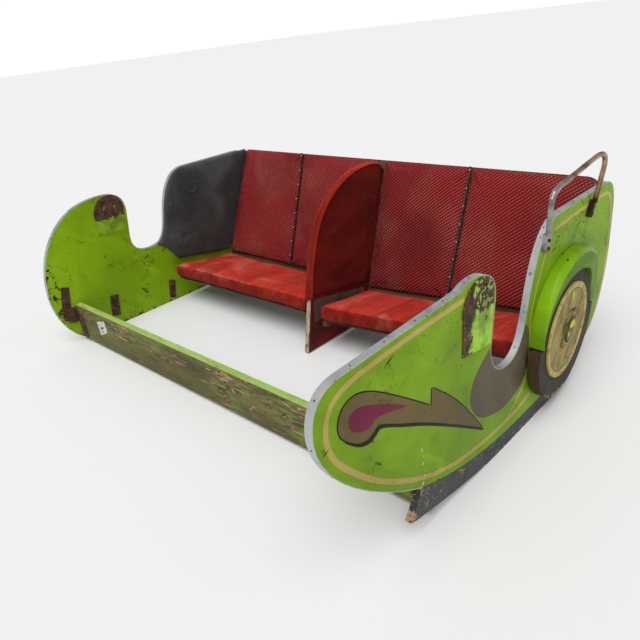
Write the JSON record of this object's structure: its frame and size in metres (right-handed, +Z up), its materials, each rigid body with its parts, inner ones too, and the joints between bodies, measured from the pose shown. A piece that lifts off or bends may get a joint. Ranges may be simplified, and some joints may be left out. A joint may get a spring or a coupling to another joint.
{
  "type": "fairground ride car",
  "caption": "Open two-bay ride car: painted side panels on edge with a low front board, an upholstered bench and divider, and a dummy wheel and mudguard on one side.",
  "frame": {"origin": "middle of the base, on the floor", "axes": "+X along the bench towards the panel with the wheel, +Y to the rear, +Z up"},
  "size_m": [2.1526, 1.6004, 0.8389],
  "materials": {
    "aluminium": "dull rolled edging",
    "rusty_steel": "rusted, old paint left in patches",
    "bare_wood": "bare, aged",
    "green_wood": "flaking paint on bare wood",
    "painted_board": "worn gloss paint",
    "black_wood": "flaking black paint",
    "tyre_board": "dark painted board",
    "cream_wood": "worn cream paint",
    "lime_wood": "worn lime paint",
    "red_moquette": "ribbed pile, faded",
    "red_velvet": "worn velvet",
    "dark_velvet": "dark velvet",
    "grey_moquette": "short pile",
    "bronzed_steel": "tarnished"
  },
  "bodies": {
    "car": {"side_panel_right": "painted_board", "side_panel_left": "painted_board", "edge_trim_right": "aluminium", "edge_trim_left": "aluminium", "skid_right": "black_wood", "wheel_tyre": "tyre_board", "wheel_rim": "cream_wood", "wheel_hub": "cream_wood", "wheel_cap": "lime_wood", "mudguard": "lime_wood", "grab_handle": "bronzed_steel", "handle_bolt_front_upper": "rusty_steel", "handle_bolt_front_lower": "rusty_steel", "handle_bolt_rear_upper": "rusty_steel", "handle_bolt_rear_lower": "rusty_steel", "bar_plate_left": "rusty_steel", "bar_plate_right": "rusty_steel", "front_board": "green_wood", "front_angle_left": "rusty_steel", "front_angle_right": "rusty_steel", "plank_plate": "aluminium", "plank_bolt": "rusty_steel", "floor_strap_left": "rusty_steel", "floor_strap_right": "rusty_steel", "seat_strap_left": "rusty_steel", "seat_strap_right": "rusty_steel", "divider_board": "bare_wood", "divider_pad_left": "dark_velvet", "divider_pad_right": "dark_velvet", "divider_edge_roll": "red_velvet", "divider_flange_right": "rusty_steel", "divider_flange_left": "rusty_steel", "seat_bearer_left_outer": "bare_wood", "seat_bearer_left_inner": "bare_wood", "seat_bearer_right_outer": "bare_wood", "seat_bearer_right_inner": "bare_wood", "back_pad_1": "red_moquette", "back_pad_2": "red_moquette", "back_pad_3": "red_moquette", "back_pad_4": "red_moquette", "back_strip_1": "rusty_steel", "back_strip_2": "rusty_steel", "back_board_left": "bare_wood", "back_board_right": "bare_wood", "back_rail_bottom": "bare_wood", "back_rail_middle": "bare_wood", "back_rail_top": "bare_wood", "arm_pad_left": "grey_moquette", "arm_pad_right": "grey_moquette"},
    "squab_left": {"squab_board_left": "bare_wood", "squab_cushion_left": "red_velvet"},
    "squab_right": {"squab_board_right": "bare_wood", "squab_cushion_right": "red_velvet"}
  },
  "joints": [
    {"name": "squab_left_lift", "type": "slide", "parent": "car", "child": "squab_left", "axis": [0, 0, 1], "range_m": [0, 0.07]},
    {"name": "squab_right_lift", "type": "slide", "parent": "car", "child": "squab_right", "axis": [0, 0, 1], "range_m": [0, 0.1]}
  ]
}
